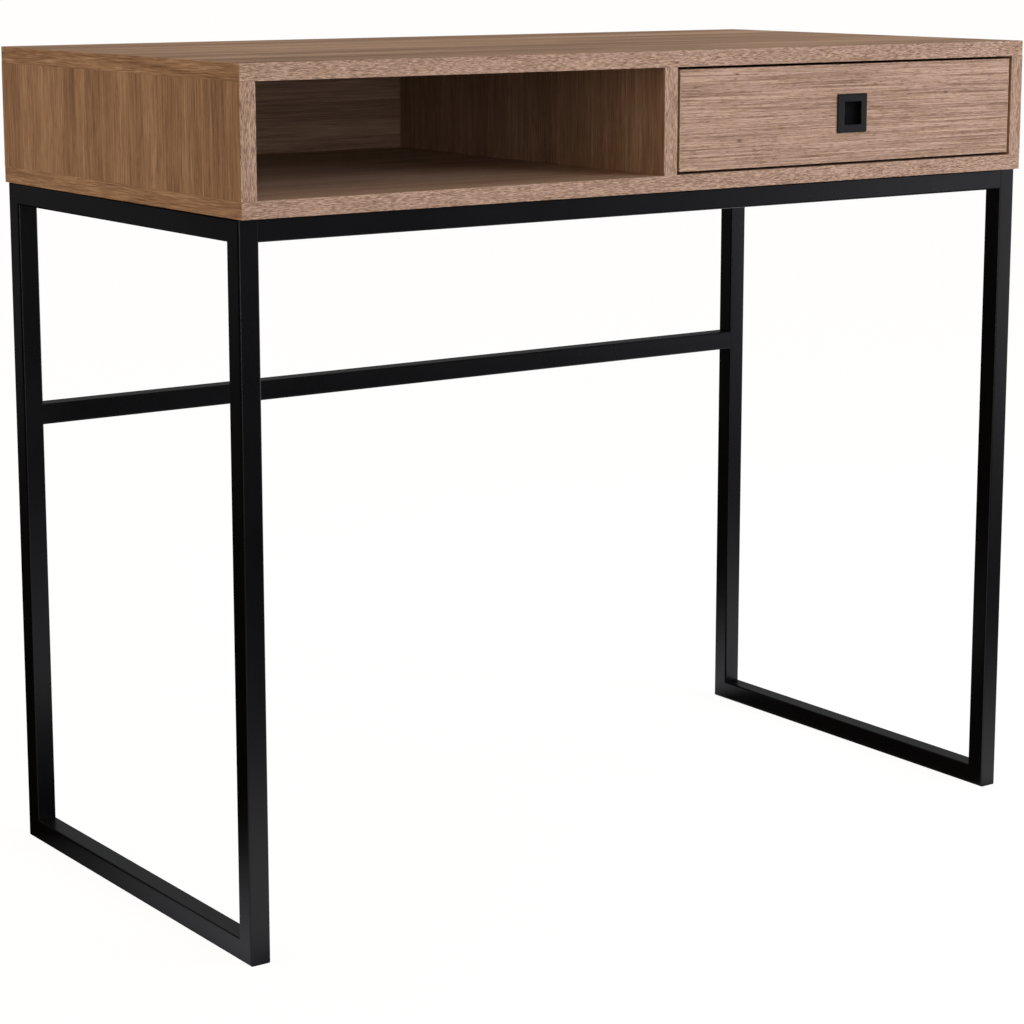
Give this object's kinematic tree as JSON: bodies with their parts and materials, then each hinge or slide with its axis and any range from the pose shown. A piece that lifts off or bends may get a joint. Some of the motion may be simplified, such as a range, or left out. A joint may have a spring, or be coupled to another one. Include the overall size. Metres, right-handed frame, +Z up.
{
  "type": "writing desk",
  "caption": "Narrow writing desk: shallow wood-grain box with an open shelf and an inset drawer, on a black square-tube steel frame with looped sides and a rear stretcher.",
  "frame": {"origin": "on the floor, at the centre of the bounding box", "axes": "+Z up, +X to the right of a person sitting at the desk facing its front, -Y out of the front towards that person"},
  "size_m": [0.9, 0.452, 0.775],
  "materials": {
    "oak_laminate": "matt greyish-brown oak-grain laminate on particle board",
    "black_steel": "satin black powder coat on square steel tube",
    "pull_plastic": "satin black moulded plastic",
    "zinc_steel": "bright zinc-plated rolled steel",
    "ball_steel": "plain steel cage with polished balls",
    "cast_zinc": "raw die-cast zinc",
    "screw_steel": "zinc-plated screw steel"
  },
  "bodies": {
    "desk_body": {"back_panel": "oak_laminate", "bottom_board": "oak_laminate", "box_screw_left_front": "screw_steel", "box_screw_left_rear": "screw_steel", "box_screw_middle_front": "screw_steel", "box_screw_middle_rear": "screw_steel", "box_screw_right_front": "screw_steel", "box_screw_right_rear": "screw_steel", "cam_bolt_left_front": "screw_steel", "cam_bolt_left_rear": "screw_steel", "cam_bolt_middle_front": "screw_steel", "cam_bolt_middle_rear": "screw_steel", "cam_bolt_right_front": "screw_steel", "cam_bolt_right_rear": "screw_steel", "cam_lock_left_front": "cast_zinc", "cam_lock_left_rear": "cast_zinc", "cam_lock_middle_front": "cast_zinc", "cam_lock_middle_rear": "cast_zinc", "cam_lock_right_front": "cast_zinc", "cam_lock_right_rear": "cast_zinc", "divider_panel": "oak_laminate", "floor_rail_left": "black_steel", "floor_rail_right": "black_steel", "front_rail": "black_steel", "front_rail_stub_left": "black_steel", "front_rail_stub_right": "black_steel", "left_side_panel": "oak_laminate", "leg_front_left": "black_steel", "leg_front_right": "black_steel", "leg_rear_left": "black_steel", "leg_rear_right": "black_steel", "rear_rail": "black_steel", "rear_rail_stub_left": "black_steel", "rear_rail_stub_right": "black_steel", "rear_stretcher": "black_steel", "rear_stretcher_stub_left": "black_steel", "rear_stretcher_stub_right": "black_steel", "right_side_panel": "oak_laminate", "side_rail_left": "black_steel", "side_rail_right": "black_steel", "slide_outer_left": "zinc_steel", "slide_outer_right": "zinc_steel", "stretcher_screw_left": "screw_steel", "stretcher_screw_right": "screw_steel", "top_board": "oak_laminate"},
    "drawer": {"drawer_back": "oak_laminate", "drawer_bottom": "oak_laminate", "drawer_front": "oak_laminate", "drawer_pull": "pull_plastic", "drawer_side_left": "oak_laminate", "drawer_side_right": "oak_laminate", "pull_screw": "screw_steel", "slide_inner_left": "zinc_steel", "slide_inner_right": "zinc_steel"},
    "slide_middle_left": {"slide_middle_left": "zinc_steel"},
    "ball_cage_outer_left": {"ball_cage_outer_left": "ball_steel"},
    "ball_cage_inner_left": {"ball_cage_inner_left": "ball_steel"},
    "slide_middle_right": {"slide_middle_right": "zinc_steel"},
    "ball_cage_outer_right": {"ball_cage_outer_right": "ball_steel"},
    "ball_cage_inner_right": {"ball_cage_inner_right": "ball_steel"}
  },
  "joints": [
    {"name": "drawer_slide", "type": "slide", "parent": "desk_body", "child": "drawer", "axis": [0, -1, 0], "range_m": [0, 0.35]},
    {"name": "slide_middle_left_travel", "type": "slide", "parent": "desk_body", "child": "slide_middle_left", "axis": [0, -1, 0], "range_m": [0, 0.175]},
    {"name": "ball_cage_outer_left_travel", "type": "slide", "parent": "desk_body", "child": "ball_cage_outer_left", "axis": [0, -1, 0], "range_m": [0, 0.0875]},
    {"name": "ball_cage_inner_left_travel", "type": "slide", "parent": "desk_body", "child": "ball_cage_inner_left", "axis": [0, -1, 0], "range_m": [0, 0.2625]},
    {"name": "slide_middle_right_travel", "type": "slide", "parent": "desk_body", "child": "slide_middle_right", "axis": [0, -1, 0], "range_m": [0, 0.175]},
    {"name": "ball_cage_outer_right_travel", "type": "slide", "parent": "desk_body", "child": "ball_cage_outer_right", "axis": [0, -1, 0], "range_m": [0, 0.0875]},
    {"name": "ball_cage_inner_right_travel", "type": "slide", "parent": "desk_body", "child": "ball_cage_inner_right", "axis": [0, -1, 0], "range_m": [0, 0.2625]}
  ],
  "couplings": [
    {"joint": "slide_middle_left_travel", "follows": "drawer_slide", "ratio": 0.5},
    {"joint": "ball_cage_outer_left_travel", "follows": "drawer_slide", "ratio": 0.25},
    {"joint": "ball_cage_inner_left_travel", "follows": "drawer_slide", "ratio": 0.75},
    {"joint": "slide_middle_right_travel", "follows": "drawer_slide", "ratio": 0.5},
    {"joint": "ball_cage_outer_right_travel", "follows": "drawer_slide", "ratio": 0.25},
    {"joint": "ball_cage_inner_right_travel", "follows": "drawer_slide", "ratio": 0.75}
  ]
}
